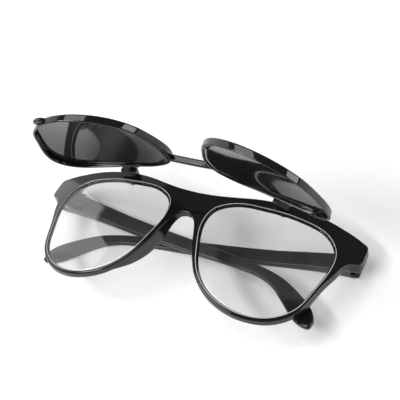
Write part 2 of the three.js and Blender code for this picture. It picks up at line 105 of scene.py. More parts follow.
# A temple, about its hinge axis: the distance from the axis, then the centre line, half width, face and back.
ARM_CENTRE = [(-1.9, 0), (15, -2.1), (47, -7.3), (70, -10.4), (92, -13.2), (105, -15.7), (113, -19),
              (120.5, -24.4), (127, -29.9), (TEMPLE_LENGTH, -35.4)]
ARM_HALF = [(-1.9, 4.7), (15, 3.95), (47, 3.5), (70, 3.1), (92, 2.5), (105, 2.4), (113, 3), (120.5, 3.9),
            (127, 4.4), (TEMPLE_LENGTH, 4.2)]
ARM_INNER = [(1.8, 1.4), (3, 1.4), (9, 1.0), (22, 0.2), (34, -0.7), (74, -0.7), (94, -1.1), (140, -1.1)]
ARM_OUTER = [(-1.7, -2.0), (-0.8, -2.9), (0.6, -3.3), (140, -3.3)]


# ---------------------------------------------------------------- curves
SPAN_POINTS = 24  # points on each span of a curve, before they are spaced evenly


def resample(points, closed, step):
    """Evenly spaced points along a polyline."""
    path = np.vstack([points, points[:1]]) if closed else points
    lengths = np.concatenate([[0], np.cumsum(np.linalg.norm(np.diff(path, axis=0), axis=1))])
    count = max(3, int(round(lengths[-1] / step)))
    at = np.linspace(0, lengths[-1], count, endpoint=not closed)
    return np.column_stack([np.interp(at, lengths, path[:, k]) for k in range(path.shape[1])])


def catmull(points, closed=False, step=0.25):
    """Evenly spaced points on a centripetal Catmull-Rom curve."""
    p = np.array(points, float)
    ends = (p[-1:], p[:2]) if closed else (2 * p[:1] - p[1:2], 2 * p[-1:] - p[-2:-1])
    q = np.vstack([ends[0], p, ends[1]])
    dense = []
    for p0, p1, p2, p3 in zip(q[:-3], q[1:-2], q[2:-1], q[3:]):
        t0 = 0.0
        t1 = t0 + np.linalg.norm(p1 - p0) ** 0.5
        t2 = t1 + np.linalg.norm(p2 - p1) ** 0.5
        t3 = t2 + np.linalg.norm(p3 - p2) ** 0.5
        t = np.linspace(t1, t2, SPAN_POINTS, endpoint=False)[:, None]
        a1 = (t1 - t) / (t1 - t0) * p0 + (t - t0) / (t1 - t0) * p1
        a2 = (t2 - t) / (t2 - t1) * p1 + (t - t1) / (t2 - t1) * p2
        a3 = (t3 - t) / (t3 - t2) * p2 + (t - t2) / (t3 - t2) * p3
        b1 = (t2 - t) / (t2 - t0) * a1 + (t - t0) / (t2 - t0) * a2
        b2 = (t3 - t) / (t3 - t1) * a2 + (t - t1) / (t3 - t1) * a3
        dense.append((t2 - t) / (t2 - t1) * b1 + (t - t1) / (t2 - t1) * b2)
    if not closed:
        dense.append(p[-1:])
    return resample(np.vstack(dense), closed, step)


def soften(loop, width, step):
    """A closed, evenly spaced loop with its corners rounded over about `width`."""
    reach = int(3 * width / step)
    weights = np.exp(-0.5 * (np.arange(-reach, reach + 1) * step / width) ** 2)
    weights /= weights.sum()
    padded = np.vstack([loop[-reach:], loop, loop[:reach]])
    return np.column_stack([np.convolve(padded[:, k], weights, "valid") for k in range(loop.shape[1])])


def outward(loop):
    """Unit normals of a closed anticlockwise loop, pointing out of it."""
    tangent = np.roll(loop, -1, axis=0) - np.roll(loop, 1, axis=0)
    tangent /= np.linalg.norm(tangent, axis=1)[:, None]
    return np.column_stack([tangent[:, 1], -tangent[:, 0]])


def smoothstep(low, high, value):
    """Goes smoothly from 0 at low to 1 at high."""
    t = np.clip((value - low) / (high - low), 0, 1)
    return t * t * (3 - 2 * t)


def face_z(x, y):
    """Height of the front's curved face."""
    return CROWN - x * x / (2 * BASE_RADIUS_X) - y * y / (2 * BASE_RADIUS_Y)


def lift(plan, offset):
    """Plan points raised to the curved face, plus an offset."""
    return np.column_stack([plan, face_z(plan[:, 0], plan[:, 1]) + offset])


OPEN_STEP = 0.25
OPEN_SOFTNESS = 1.2
OPEN_LOOP = soften(catmull(OPENING, closed=True, step=OPEN_STEP), OPEN_SOFTNESS, OPEN_STEP)
OPEN_NORMAL = outward(OPEN_LOOP)


def opening_at(u, distance):
    """The opening's outline at the shares u of the way round, moved outward."""
    at = (u % 1) * len(OPEN_LOOP)
    index = np.arange(len(OPEN_LOOP) + 1)
    both = [np.vstack([a, a[:1]]) for a in (OPEN_LOOP, OPEN_NORMAL)]
    point, normal = [np.column_stack([np.interp(at, index, a[:, k]) for k in (0, 1)]) for a in both]
    return point + normal * distance


# ---------------------------------------------------------------- meshes
MERGE_DISTANCE = 0.002
SLIVER = 0.001
SHARP_ANGLE = math.radians(48)


def new_piece(name, verts, faces, turn=None):
    """A smooth-shaded object from points in millimetres about the optical centre line."""
    points = np.array(verts, float)
    if turn is not None:
        points = turn(points)
    points = (points + [0, SHIFT_Y, 0]) * MM
    mesh = bpy.data.meshes.new(name)
    mesh.from_pydata(points.tolist(), [], [tuple(int(i) for i in f) for f in faces])
    tidy = bmesh.new()
    tidy.from_mesh(mesh)
    bmesh.ops.remove_doubles(tidy, verts=tidy.verts, dist=MERGE_DISTANCE * MM)
    bmesh.ops.dissolve_degenerate(tidy, edges=tidy.edges, dist=SLIVER * MM)
    bmesh.ops.recalc_face_normals(tidy, faces=tidy.faces)
    tidy.to_mesh(mesh)
    tidy.free()
    mesh.shade_smooth()
    mesh.set_sharp_from_angle(angle=SHARP_ANGLE)
    piece = bpy.data.objects.new(name, mesh)
    bpy.context.scene.collection.objects.link(piece)
    return piece


class Shell:
    """Collects the rings, caps and grids of one piece."""

    def __init__(self):
        self.verts = []
        self.faces = []

    def add(self, points):
        start = len(self.verts)
        self.verts.extend(np.asarray(points).tolist())
        return np.arange(start, len(self.verts))

    def band(self, a, b):
        """Quads between two closed rings, with none in the plane down the middle of the spectacles."""
        count = len(a)
        for i in range(count):
            k = (i + 1) % count
            quad = (a[i], a[k], b[k], b[i])
            if all(abs(self.verts[j][0]) < 1e-6 for j in quad):
                continue
            self.faces.append(quad)

    def rings(self, rings, joined=False):
        """Closed rings bridged in turn, and the last to the first if joined."""
        ids = [self.add(r) for r in rings]
        for a, b in zip(ids[:-1], ids[1:]):
            self.band(a, b)
        if joined:
            self.band(ids[-1], ids[0])
        return ids

    def capped(self, rings):
        """Closed rings bridged in turn, with a face across each end."""
        ids = self.rings(rings)
        self.faces.append(tuple(ids[0]))
        self.faces.append(tuple(reversed(ids[-1])))

    def mirrored(self):
        """Adds the other half, across the middle of the spectacles."""
        count = len(self.verts)
        self.verts.extend([(-x, y, z) for x, y, z in self.verts[:count]])
        self.faces.extend([tuple(i + count for i in reversed(f)) for f in self.faces[:]])


def rounded_box(width, height, radius, steps=4):
    """A rounded rectangle about the origin, anticlockwise."""
    points = []
    for cx, cy, start in ((1, 1, 0), (-1, 1, 90), (-1, -1, 180), (1, -1, 270)):
        for k in range(steps + 1):
            a = math.radians(start + 90 * k / steps)
            points.append((cx * (width / 2 - radius) + radius * math.cos(a),
                           cy * (height / 2 - radius) + radius * math.sin(a)))
    return np.array(points)


BEVEL_STEPS = 3


def extrude_x(shell, outline, x0, x1, bevel):
    """A closed outline in Y-Z, standing across x0..x1, with rounded edges."""
    normal = outward(outline)
    start = []
    for k in range(BEVEL_STEPS + 1):
        a = math.radians(90 / BEVEL_STEPS * k)
        start.append((x0 + bevel * (1 - math.cos(a)), bevel * (1 - math.sin(a))))
    end = [(x1 - (x - x0), inset) for x, inset in reversed(start)]
    loops = []
    for x, inset in start + end:
        flat = outline - normal * inset
        loops.append(np.column_stack([np.full(len(flat), x), flat]))
    shell.capped(loops)


def finish_piece(piece, body, slot, material, *nodes):
    """Gives a new piece its material and its body, and hides the CAD nodes that it stands for; the slot is
    not used.
    """
    piece.data.materials.append(material)
    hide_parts(*nodes)
    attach(piece, body)
    return piece


# ---------------------------------------------------------------- the front
EDGE_STEP = 0.7
DRAW_STEP = 0.2
EDGE_SOFTNESS = 0.8
RIM_START = (17.4, -20.2)  # where the nose wall runs into the rim
RIM_END = (62.4, -4)  # where the rim runs into the end piece
MIDDLE_SLACK = 0.15


def whole_outline(half):
    """A half outline and its mirror image, as one loop."""
    return np.vstack([half, (half * [-1, 1])[-2:0:-1]])


def front_edge():
    """The left half of the front's outline, from the nose arch round to the bridge's top, and its normals."""
    rim = OPEN_LOOP + OPEN_NORMAL * RIM_WIDTH
    first = int(np.argmin(np.linalg.norm(rim - RIM_START, axis=1)))
    last = int(np.argmin(np.linalg.norm(rim - RIM_END, axis=1)))
    count = (last - first) % len(rim)
    bottom = rim[(first + np.arange(count)) % len(rim)]
    stretches = [catmull(NOSE_ARCH), bottom, catmull(END_UNDER), np.array(END_SIDE), catmull(BROW_TOP)]
    half = np.vstack(stretches)
    whole = whole_outline(resample(half, False, DRAW_STEP))
    whole = soften(resample(whole, True, DRAW_STEP), EDGE_SOFTNESS, DRAW_STEP)
    turn = int(np.argmin(np.abs(whole[: len(whole) // 3, 0])))
    half = whole[turn: turn + len(whole) // 2 + 1]
    half = half[half[:, 0] > -MIDDLE_SLACK]
    half[0, 0] = half[-1, 0] = 0
    half = resample(half, False, EDGE_STEP)
    normal = outward(whole_outline(half))[: len(half)]
    normal[0] = (0, -1)
    normal[-1] = (0, 1)
    return half, normal


EDGE, EDGE_NORMAL = front_edge()
CENTRE_COUNT = 12  # points down the middle of the bridge
LEAST_SHARE = 0.35  # the least spacing round the opening, as a share of the even one
SHARE_REACH = 8


def matched_opening():
    """For each point round the left half, how far round the opening its partner lies."""
    heights = np.linspace(EDGE[-1, 1], EDGE[0, 1], CENTRE_COUNT + 2)[1:-1]
    outline = np.vstack([EDGE, np.column_stack([np.zeros(CENTRE_COUNT), heights])])
    gaps = np.linalg.norm(outline[:, None] - OPEN_LOOP[None], axis=2)
    share = np.argmin(gaps, axis=1) / len(OPEN_LOOP)
    share = np.unwrap(share * 2 * math.pi) / (2 * math.pi)
    count = len(outline)
    steps = np.diff(np.append(share, share[0] + 1))
    steps = np.clip(steps, LEAST_SHARE / count, None)
    reach = SHARE_REACH
    weights = np.hanning(2 * reach + 3)[1:-1]
    padded = np.concatenate([steps[-reach:], steps, steps[:reach]])
    steps = np.convolve(padded, weights / weights.sum(), "valid")
    steps /= steps.sum()
    result = share[0] + np.concatenate([[0], np.cumsum(steps)[:-1]])
    return result + np.mean(share - result)


MATCH = matched_opening()


def edge_ring(inset):
    """The half outline moved inward, closed down the middle of the bridge."""
    inset = np.broadcast_to(inset, len(EDGE) + CENTRE_COUNT)[: len(EDGE), None]
    edge = EDGE - EDGE_NORMAL * inset
    edge[0, 0] = edge[-1, 0] = 0
    line = np.linspace(edge[-1, 1], edge[0, 1], CENTRE_COUNT + 2)[1:-1]
    return np.vstack([edge, np.column_stack([np.zeros(CENTRE_COUNT), line])])


FLARE = 1.5  # how far the rims open out behind the lenses
PLATE_FRONT = -0.3
PLATE_THICKNESS = 1.0
# The front's edges are well rounded, but crisp at the end pieces.
CRISPNESS = 0.72
CRISP_X = (60, 67)
EASE = np.concatenate([1 - CRISPNESS * smoothstep(*CRISP_X, EDGE[:, 0]), np.ones(CENTRE_COUNT)])
REST_MIDDLE_Y = -6.5
REST_HALF_SPAN = 15.5
REST_REACH = 5.0
REST_FADE_X = (22, 28)
REST_FADE_IN = (1.0, 2.6)
BLOCK_X = (60.6, 63.2)
BLOCK_Y = (9.5, 12.6)

# Sections of the front's edges, as a distance out from the opening, or in from the outline, and a height.
LIP = [(1.2, -0.9), (1.2, -0.3), (1.21, -0.17), (1.26, -0.07), (1.36, -0.02), (1.5, 0.0)]
FACE_EDGE = [(0.8, 0), (0.5, -0.05), (0.26, -0.18), (0.1, -0.38), (0.02, -0.62), (0, -0.9)]
BACK_EDGE = [(0, 0.6), (0.08, 0.3), (0.28, 0.09), (0.6, 0)]
SEAT = PLATE_FRONT - PLATE_THICKNESS - 0.1
GROOVE = [(FLARE, 0.12 - RIM_DEPTH), (0.12, SEAT - 0.22), (0.03, SEAT - 0.13), (0, SEAT - 0.05), (0.04, SEAT),
          (1.2, SEAT)]
FACE_LINES = 11
BACK_LINES = 15
BACK_START = FLARE + 0.2


def front_depth(plan, inward):
    """Depth of the front behind its face: deeper at the nose rests and at the end blocks."""
    x, y = plan[:, 0], plan[:, 1]
    phase = np.clip(np.abs(y - REST_MIDDLE_Y) / REST_HALF_SPAN, 0, 1)
    rest = REST_REACH * np.cos(phase * math.pi / 2) * (1 - smoothstep(*REST_FADE_X, x))
    rest = rest * (1 - smoothstep(*REST_FADE_IN, inward))
    block = smoothstep(*BLOCK_X, x) * smoothstep(*BLOCK_Y, y)
    deep = face_z(x, y) - RIM_DEPTH - END_BACK_Z
    return RIM_DEPTH + rest + block * np.maximum(deep, 0)


def face_rings():
    """The front's face, from the lip of the opening out to its rounded outer edge."""
    rings = [lift(opening_at(MATCH, distance), drop) for distance, drop in LIP]
    inner = opening_at(MATCH, LIP[-1][0])
    outer = edge_ring(FACE_EDGE[0][0] * EASE)
    for t in np.linspace(0, 1, FACE_LINES)[1:-1]:
        rings.append(lift(inner * (1 - t) + outer * t, 0))
    for inset, drop in FACE_EDGE:
        rings.append(lift(edge_ring(inset * EASE), drop * EASE))
    return rings


def back_rings():
    """The front's outer side and its back, in to the groove of the lens."""
    rings = []
    edge = edge_ring(0)
    bottom = front_depth(edge, np.zeros(len(edge)))
    top = FACE_EDGE[-1][1]
    for t in (0.25, 0.5, 0.75):
        rings.append(lift(edge, top - (bottom - (BACK_EDGE[0][1] - top)) * t))
    for inset, rise in BACK_EDGE:
        rings.append(lift(edge_ring(inset), rise - bottom))
    edge_inset = BACK_EDGE[-1][0]
    outer = edge_ring(edge_inset)
    inner = opening_at(MATCH, BACK_START)
    width = np.linalg.norm(outer - inner, axis=1)
    for t in np.linspace(0, 1, BACK_LINES)[1:]:
        plan = outer * (1 - t) + inner * t
        rings.append(lift(plan, -front_depth(plan, edge_inset + t * width)))
    return rings


def front_frame():
    """Both rims, the bridge, the nose rests and the end pieces, as one moulding."""
    shell = Shell()
    groove = [lift(opening_at(MATCH, distance), offset) for distance, offset in GROOVE]
    shell.rings(face_rings() + back_rings() + groove, joined=True)
    shell.mirrored()
    return new_piece("front_moulding", shell.verts, shell.faces)


# ---------------------------------------------------------------- lenses
LENS_SHARES = np.linspace(0, 1, 260, endpoint=False)
LENS_CENTRE = np.array([36.0, -1.0])
FILTER_BACK = 5.0  # closed, from the front's face to the filter plate
FILTER_THICKNESS = 0.8
FILTER_WRAP_EASE = 0.04
PLATE_ROUNDING = 0.15
# How far from a plate's edge to its centre the lines across its faces lie.
DISC_SHARES = (0, 0.05, 0.12, 0.22, 0.34, 0.46, 0.58, 0.7, 0.82, 0.92)
BEAD_OUT = 0.98
BEAD_HALF = 0.12
BEAD_TOP = -0.02


def lens_shell(outset, back, front, side):
    """A curved plate with rounded edges, between two offsets from the front's face."""
    shell = Shell()
    rim = opening_at(LENS_SHARES, outset)
    inner = opening_at(LENS_SHARES, outset - PLATE_ROUNDING)

    def disc(offset):
        return [lift(inner * (1 - t) + LENS_CENTRE * t, offset) for t in DISC_SHARES]

    side_rings = [lift(rim, front - PLATE_ROUNDING), lift(rim, back + PLATE_ROUNDING)]
    ids = shell.rings(disc(front)[::-1] + side_rings + disc(back))
    for ring, offset, flip in ((ids[0], front, True), (ids[-1], back, False)):
        tip = shell.add(lift(LENS_CENTRE[None], offset))[0]
        for i in range(len(ring)):
            k = (i + 1) % len(ring)
            shell.faces.append((ring[k], ring[i], tip) if flip else (ring[i], ring[k], tip))
    if side == RIGHT:
        shell.verts = [(-x, y, z) for x, y, z in shell.verts]
    return shell


def eased_wrap(points, side):
    """A filter plate turned in its rim, so that it wraps round the face a little less than the rim does."""
    eased = np.array(points, float)
    eased[:, 2] += side * FILTER_WRAP_EASE * (eased[:, 0] - side * LENS_CENTRE[0])
    return eased


def lens_bead(side):
    """The raised, ground edge of a clear lens; its near-white finish also paints the bright highlight line
    round the opening.
    """
    shell = Shell()
    rings = []
    for a in np.radians(np.arange(0, 360, 45)):
        plan = opening_at(LENS_SHARES, BEAD_OUT + BEAD_HALF * math.cos(a))
        rings.append(lift(plan, BEAD_TOP + BEAD_HALF * (math.sin(a) - 1)) * [side, 1, 1])
    shell.rings(rings, joined=True)
    return shell


# ---------------------------------------------------------------- the shade
FLIP_TURN = np.array(Matrix.Rotation(FLIP_ANGLE, 3, Vector(JOINTS["shade_flip"]["axis"])))
PIVOT = np.array([0, FLIP_Y, FLIP_PIVOT[2]])


def raised(points):
    """The shade is drawn closed; this lifts it to its rest pose."""
    return (points - PIVOT) @ FLIP_TURN.T + PIVOT


def shade_rim(shell, side):
    """One rim of the shade, swept round the opening, with a lip in front of the filter plate."""
    out, inn = SHADE_OUTSET, -SHADE_INSET
    b, f = SHADE_BACK, SHADE_FRONT
    section = [
        (0.0, b + 2.7), (inn, b + 2.7), (inn, f - 0.3), (inn + 0.08, f - 0.12), (inn + 0.3, f),
        (0.2, f), (0.55, f - 0.03), (0.8, f - 0.12), (0.94, f - 0.28), (out, f - 0.55),
        (out, b + 2.0), (out, b + 1.2), (out, b + 0.5), (0.96, b + 0.25), (0.86, b + 0.08), (0.68, b),
        (0.3, b), (0.12, b + 0.05), (0.03, b + 0.2), (0.0, b + 0.5), (0.0, b + 1.2),
    ]
    rings = []
    for distance, offset in section:
        ring = lift(opening_at(LENS_SHARES, distance), offset)
        rings.append(ring * [side, 1, 1])
    shell.rings(rings, joined=True)


BAR_HALF_SPAN = 12.4
BAR_TOP = [(-BAR_HALF_SPAN, 14.3), (-6, 15.4), (0, 15.8), (6, 15.4), (BAR_HALF_SPAN, 14.3)]
BAR_STEP = 0.8
BAR_HEIGHT = 2.2
BAR_ROUNDING = 0.7
BAR_DEPTH = SHADE_FRONT - SHADE_BACK - 0.3


def shade_bar(shell):
    """The arched strap that joins the rims over the nose."""
    line = catmull(BAR_TOP, step=BAR_STEP)
    section = rounded_box(BAR_HEIGHT, BAR_DEPTH, BAR_ROUNDING)
    rings = []
    for x, y in line:
        middle = face_z(x, y) + (SHADE_BACK + SHADE_FRONT) / 2
        rings.append([(x, y - BAR_HEIGHT / 2 + a, middle + b) for a, b in section])
    shell.capped(rings)


EAR_HALF = 1.5
LUG_START = EAR_HALF + 2 * GAP + 0.5
LUG = 2.2
LUG_RADIUS = 2.05
LUG_ROOT_Y = 22.6
LUG_SOFTNESS = 0.25
LUG_BEVEL = 0.28


def knuckle(radius, first, last, count):
    """An arc about the flip axis, between two angles in degrees."""
    angles = np.radians(np.linspace(first, last, count))
    return [(FLIP_Y + radius * math.cos(a), PIVOT[2] + radius * math.sin(a)) for a in angles]


def softened_outline(points, softness):
    """An outline with evenly spaced points and rounded corners."""
    return soften(resample(np.array(points, float), True, DRAW_STEP), softness, DRAW_STEP)


def shade_lugs(shell):
    """Two lugs on each rim, one on each side of the bracket's ear."""
    z = PIVOT[2]
    arc = knuckle(LUG_RADIUS, -95, 110, 12)
    outline = [(LUG_ROOT_Y, z - 2.3), (24.5, z - 2.4)] + arc + [(24, z + 1.1), (LUG_ROOT_Y, z + 0.5)]
    outline = softened_outline(outline, LUG_SOFTNESS)
    for side, _ in SIDES:
        for end in (-1, 1):
            x0, x1 = sorted((side * FLIP_X + end * LUG_START, side * FLIP_X + end * (LUG_START + LUG)))
            extrude_x(shell, outline, x0, x1, LUG_BEVEL)


TAB_CENTRE = np.array([-50.5, -23.0])
TAB_RADIUS = 2.9
TAB_SECTION = [(0.35, 1.15), (0.75, 1.2), (0.92, 1.35), (1.0, 1.75), (1.0, 2.35), (0.93, 2.8), (0.8, 3.03),
               (0.6, 3.14), (0.3, 3.19)]  # share of the radius, height above the shade's back


def finger_tab(shell):
    """The small lifting tab on the wearer's right: a domed disc."""
    angles = np.linspace(0, 2 * math.pi, 48, endpoint=False)
    circle = np.column_stack([np.cos(angles), np.sin(angles)])
    rings = [lift(TAB_CENTRE + circle * TAB_RADIUS * share, SHADE_BACK + z) for share, z in TAB_SECTION]
    shell.capped(rings)


def shade_frame():
    """Both rims of the shade with their bar, lugs and tab, as one piece."""
    shell = Shell()
    for side, _ in SIDES:
        shade_rim(shell, side)
    shade_bar(shell)
    shade_lugs(shell)
    finger_tab(shell)
    return new_piece("shade_moulding", shell.verts, shell.faces, raised)


# ---------------------------------------------------------------- temples
ARM_LINE = catmull(ARM_CENTRE, step=0.5)
ARM_WIDTH = catmull(ARM_HALF, step=0.5)
ARM_ROOT = [-1.65, -1.5, -1.1, -0.6, 0, 0.6, 1.2, 1.7, 1.8, 1.801, 1.86, 2.0, 2.3, 3, 4, 5.5, 7]
ARM_STEP = 1.5
ARM_CROWN = 0.16
ARM_ROUNDING = 0.75
SQUARE_END = 3  # nearer its hinge than this, the arm is flat and square to it
SHOULDER = 1.8  # nearer than this, the arm is a thin tongue under its hinge leaf
SHOULDER_END = 2.3
SHOULDER_DROP = 0.5
TONGUE_FACE = -1.8
TIP = 7
TIP_END = 0.9995
TIP_LEAST_WIDTH = 0.35
TIP_LEAST_THICKNESS = 0.2
TIP_THINNING = 0.55


def arm_distances():
    """Where an arm's sections stand: close together at the hinge and at the tip."""
    body = list(np.arange(9, TEMPLE_LENGTH - TIP, ARM_STEP))
    tip = [TEMPLE_LENGTH - TIP + TIP * math.sin(a) for a in np.linspace(0, math.pi / 2, 16)]
    return ARM_ROOT + body + tip


def arm_size(d):
    """An arm's half width, outer face and inner face, at a distance from its hinge axis."""
    high = TONGUE_FACE
    if d > SHOULDER:
        high = np.interp(d, *np.transpose(ARM_INNER))
        high -= SHOULDER_DROP * (1 - smoothstep(SHOULDER, SHOULDER_END, d))
    low = np.interp(d, *np.transpose(ARM_OUTER))
    to_tip = max(0.0, (d - (TEMPLE_LENGTH - TIP)) / TIP)
    round_off = math.sqrt(max(0.0, 1 - min(to_tip, TIP_END) ** 2))
    width = max(TIP_LEAST_WIDTH, np.interp(d, ARM_WIDTH[:, 0], ARM_WIDTH[:, 1]) * round_off)
    shrink = TIP_THINNING * (1 - min(1.0, round_off * 2.2))
    return width, low + shrink, high - shrink


def arm_ring(d, side):
    """One rounded section of an arm, crowned on its inner face."""
    line = ARM_LINE[:, 0], ARM_LINE[:, 1]
    at = np.array([d, np.interp(d, *line)])
    slope = (np.interp(d + 1, *line) - np.interp(d - 1, *line)) / 2
    across = np.array([-slope, 1]) / math.hypot(slope, 1)
    if d < SQUARE_END:
        across = np.array([0.0, 1.0])
    width, low, high = arm_size(d)
    thick = max(TIP_LEAST_THICKNESS, high - low)
    crown = ARM_CROWN if d > SQUARE_END else 0.0
    ring = []
    for w, h in rounded_box(2 * width, thick, min(ARM_ROUNDING, thick * 0.42, width * 0.9), 5):
        bulge = crown * (1 - (w / width) ** 2) if h > 0 else 0
        plan = at + across * w
        ring.append((-side * plan[0], plan[1], (low + high) / 2 + h - crown * (h > 0) + bulge))
    return ring


def temple(side, word):
    """One side arm: a rounded section swept from the hinge to the hooked end."""
    hinge = np.array(JOINTS[f"{word}_temple_fold"]["pos_m"]) / MM - [0, SHIFT_Y, 0]
    shell = Shell()
    shell.capped([arm_ring(d, side) for d in arm_distances()])
    play = np.array(Matrix.Rotation(-HINGE_PLAY, 3, "Z"))
    tilt = np.array(Matrix.Rotation(-INNER_LIFT if side == RIGHT else 0.0, 3, "Y"))
    return new_piece(f"side_arm_{word}", shell.verts, shell.faces, lambda p: p @ play.T @ tilt.T + hinge)


# ---------------------------------------------------------------- the flip brackets
EAR_RADIUS = 2.1
EAR_SOFTNESS = 0.2
EAR_BEVEL = 0.3
FOOT_LIFT = 0.1
BASE_SINK = 0.3
BASE_TOP = CROWN - 1
BASE_HALF = 3.55
BASE_SOFTNESS = 0.35
BASE_BEVEL = 0.35


def bracket(side, word):
    """A bracket of the flip hinge: a base on the brow and an ear that holds the pin."""
    shell = Shell()
    x = side * FLIP_X
    foot = face_z(FLIP_X, FLIP_Y) + FOOT_LIFT
    ear = softened_outline([(24.8, foot), (28.6, foot)] + knuckle(EAR_RADIUS, -5, 185, 14), EAR_SOFTNESS)
    extrude_x(shell, ear, x - EAR_HALF, x + EAR_HALF, EAR_BEVEL)
    sunk = foot - BASE_SINK
    base = softened_outline([(24.6, sunk), (28.2, sunk), (28.1, BASE_TOP), (24.8, BASE_TOP)], BASE_SOFTNESS)
    extrude_x(shell, base, x - BASE_HALF, x + BASE_HALF, BASE_BEVEL)
    return new_piece(f"hinge_ear_{word}", shell.verts, shell.faces)


# ---------------------------------------------------------------- materials
class Nodes:
    """Short names for building a node material."""

    def __init__(self, name):
        self.material = bpy.data.materials.new(name)
        self.material.use_nodes = True
        self.tree = self.material.node_tree
        self.tree.nodes.clear()
        self.output = self.node("ShaderNodeOutputMaterial")
        self.place = self.node("ShaderNodeTexCoord").outputs["Object"]

    def node(self, kind, **values):
        made = self.tree.nodes.new(kind)
        for key, value in values.items():
            setattr(made, key, value)
        return made

    def link(self, a, b):
        self.tree.links.new(a, b)

    def noise(self, scale, detail=3.0, stretch=(1, 1, 1)):
        mapping = self.node("ShaderNodeMapping")
        mapping.inputs["Scale"].default_value = stretch
        self.link(self.place, mapping.inputs["Vector"])
        noise = self.node("ShaderNodeTexNoise")
        noise.inputs["Scale"].default_value = scale
        noise.inputs["Detail"].default_value = detail
        self.link(mapping.outputs["Vector"], noise.inputs["Vector"])
        return noise.outputs["Fac"]

    def spread(self, value, low, high):
        """A noise's useful range, spread over low to high."""
        ramp = self.node("ShaderNodeMapRange")
        ramp.inputs["From Min"].default_value = 0.3
        ramp.inputs["From Max"].default_value = 0.7
        ramp.inputs["To Min"].default_value = low
        ramp.inputs["To Max"].default_value = high
        self.link(value, ramp.inputs["Value"])
        return ramp.outputs["Result"]

    def blend(self, value, dark, light):
        mix = self.node("ShaderNodeMix", data_type="RGBA")
        mix.inputs["A"].default_value = (*dark, 1)
        mix.inputs["B"].default_value = (*light, 1)
        self.link(value, mix.inputs["Factor"])
        return mix.outputs["Result"]

    def bump(self, value, distance, before=None):
        bump = self.node("ShaderNodeBump")
        bump.inputs["Distance"].default_value = distance
        self.link(value, bump.inputs["Height"])
        if before is not None:
            self.link(before, bump.inputs["Normal"])
        return bump.outputs["Normal"]

    def finish(self, shader):
        self.link(shader, self.output.inputs["Surface"])
        return self.material


PLASTIC_IOR = 1.5
PEEL_HEIGHT = 0.00001  # metres, as all bump heights are
GRAIN_HEIGHT = 0.0000012


def moulded_surface(n, shader):
    """A slight orange peel under a fine grain, as moulded plastic has."""
    peel = n.bump(n.noise(260, 2), PEEL_HEIGHT)
    n.link(n.bump(n.noise(5200, 3), GRAIN_HEIGHT, before=peel), shader.inputs["Normal"])
    shader.inputs["IOR"].default_value = PLASTIC_IOR


def gloss_plastic(name, dark, light, rough):
    """Polished black injection moulding: faint flow marks, handling haze and a slight orange peel."""
    n = Nodes(name)
    shader = n.node("ShaderNodeBsdfPrincipled")
    n.link(n.blend(n.noise(160, 4), dark, light), shader.inputs["Base Color"])
    n.link(n.spread(n.noise(90, 5), rough * 0.8, rough * 1.25), shader.inputs["Roughness"])
    moulded_surface(n, shader)
    return n.finish(shader.outputs["BSDF"])


# Where the arm's painted reflection fades into the true black and the gloss rises, towards the hooked end.
TIP_BLEND_START_Y = -7.0
TIP_BLEND_END_Y = -13.0


def temple_plastic_painted_veil(name, satin, tip_black, satin_rough, tip_rough):
    """The arms' black plastic: satin along the arm, glossier at the hooked end. Along the arm the colour is
    lifted to grey as a painted reflection, the veil of the clear lenses; the hooked end keeps the true black.
    """
    n = Nodes(name)
    shader = n.node("ShaderNodeBsdfPrincipled")
    across = n.node("ShaderNodeSeparateXYZ")
    n.link(n.place, across.inputs["Vector"])
    tip_blend = n.node("ShaderNodeMapRange", interpolation_type="SMOOTHSTEP")
    tip_blend.inputs["From Min"].default_value = TIP_BLEND_START_Y * MM
    tip_blend.inputs["From Max"].default_value = TIP_BLEND_END_Y * MM
    n.link(across.outputs["Y"], tip_blend.inputs["Value"])
    # Painted reflection: a grey along the arm for the clear lenses' veil, going over to the true black at the
    # hooked end.
    base = n.node("ShaderNodeMix", data_type="RGBA")
    n.link(tip_blend.outputs["Result"], base.inputs["Factor"])
    n.link(n.blend(n.noise(160, 4), *satin), base.inputs["A"])
    n.link(n.blend(n.noise(160, 4), *tip_black), base.inputs["B"])
    n.link(base.outputs["Result"], shader.inputs["Base Color"])
    rough = n.node("ShaderNodeMix", data_type="FLOAT")
    n.link(tip_blend.outputs["Result"], rough.inputs["Factor"])
    n.link(n.spread(n.noise(90, 5), satin_rough * 0.8, satin_rough * 1.25), rough.inputs["A"])
    rough.inputs["B"].default_value = tip_rough
    n.link(rough.outputs["Result"], shader.inputs["Roughness"])
    moulded_surface(n, shader)
    return n.finish(shader.outputs["BSDF"])


GLASS_IOR = 1.5
GLASS_TINT = (0.915, 0.918, 0.917, 1)
FILTER_IOR = 1.53
FILTER_SHINE = 0.3


def clear_glass(name):
    """A clear plate: light goes straight through, and a share that grows at a slant is mirrored."""
    n = Nodes(name)
    through = n.node("ShaderNodeBsdfTransparent")
    through.inputs["Color"].default_value = GLASS_TINT
    mirror = n.node("ShaderNodeBsdfGlossy")
    mirror.inputs["Color"].default_value = (1, 1, 1, 1)
    n.link(n.spread(n.noise(70, 4), 0.015, 0.05), mirror.inputs["Roughness"])
    fresnel = n.node("ShaderNodeFresnel")
    side = n.node("ShaderNodeMapRange")  # from inside the plate the ratio of the indices is the other way up
    side.inputs["To Min"].default_value = GLASS_IOR
    side.inputs["To Max"].default_value = 1 / GLASS_IOR
    n.link(n.node("ShaderNodeNewGeometry").outputs["Backfacing"], side.inputs["Value"])
    n.link(side.outputs["Result"], fresnel.inputs["IOR"])
    mix = n.node("ShaderNodeMixShader")
    n.link(fresnel.outputs["Fac"], mix.inputs["Fac"])
    n.link(through.outputs["BSDF"], mix.inputs[1])
    n.link(mirror.outputs["BSDF"], mix.inputs[2])
    return n.finish(mix.outputs["Shader"])


